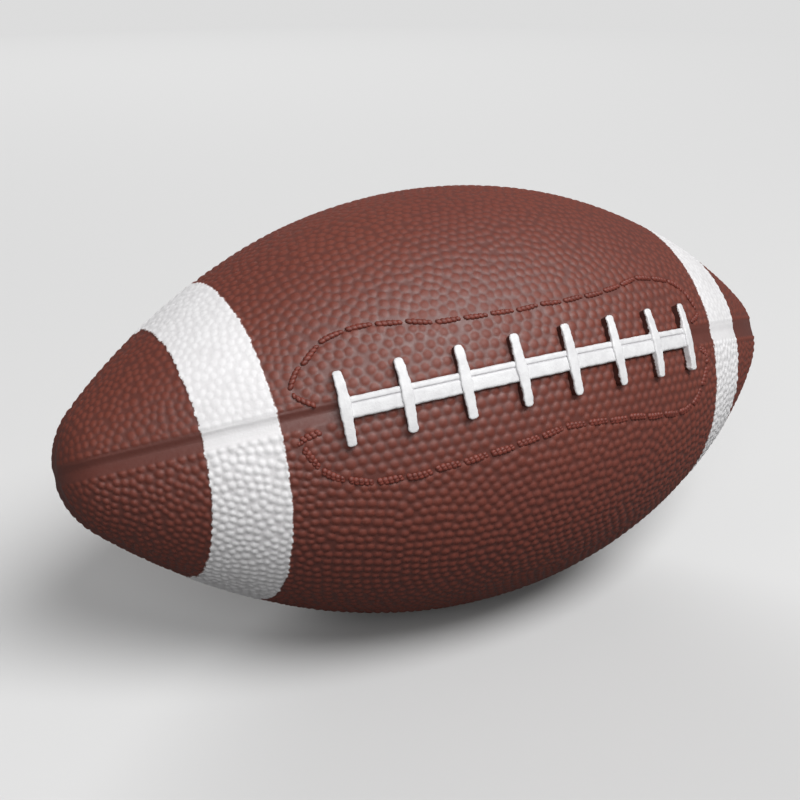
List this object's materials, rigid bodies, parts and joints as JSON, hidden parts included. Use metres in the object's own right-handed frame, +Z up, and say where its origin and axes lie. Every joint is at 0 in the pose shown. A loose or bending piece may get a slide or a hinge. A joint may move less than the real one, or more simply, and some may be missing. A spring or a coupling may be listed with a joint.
{
  "type": "american football",
  "caption": "Moulded rubber american football with a pebbled four-panel cover, raised white laces, two white stripes, a bladder and a needle valve.",
  "frame": {"origin": "centre of the ball", "axes": "+X along the long axis from tip to tip, +Z up as the ball lies on its belly, laces on the -Y side turned 63 degrees from +Z, valve on +Y"},
  "size_m": [0.2224, 0.1179, 0.118],
  "materials": {
    "cover_rubber": "pebbled moulded brown rubber, satin",
    "lace_rubber": "raised rubber, white paint on top, satin",
    "stripe_paint": "thin white paint over the pebbled rubber",
    "carcass_rubber": "dark brown rubber, matt",
    "nylon_thread": "wound nylon thread set in latex",
    "bladder_rubber": "black butyl rubber, matt",
    "valve_rubber": "black rubber boot, matt",
    "plug_rubber": "soft self-sealing rubber, satin"
  },
  "bodies": {
    "ball": {"bladder": "bladder_rubber", "thread_winding": "nylon_thread", "carcass": "carcass_rubber", "upper_front_panel": "cover_rubber", "lower_front_panel": "cover_rubber", "lower_back_panel": "cover_rubber", "upper_back_panel": "cover_rubber", "left_stripe": "stripe_paint", "right_stripe": "stripe_paint", "upper_lace_rail": "lace_rubber", "lower_lace_rail": "lace_rubber", "lace_bar_1": "lace_rubber", "lace_bar_2": "lace_rubber", "lace_bar_3": "lace_rubber", "lace_bar_4": "lace_rubber", "lace_bar_5": "lace_rubber", "lace_bar_6": "lace_rubber", "lace_bar_7": "lace_rubber", "lace_bar_8": "lace_rubber", "valve_boot": "valve_rubber"},
    "valve": {"valve_plug": "plug_rubber"}
  },
  "joints": [
    {"name": "valve_pull", "type": "slide", "parent": "ball", "child": "valve", "axis": [0, 1, 0], "range_m": [0, 0.02]}
  ]
}
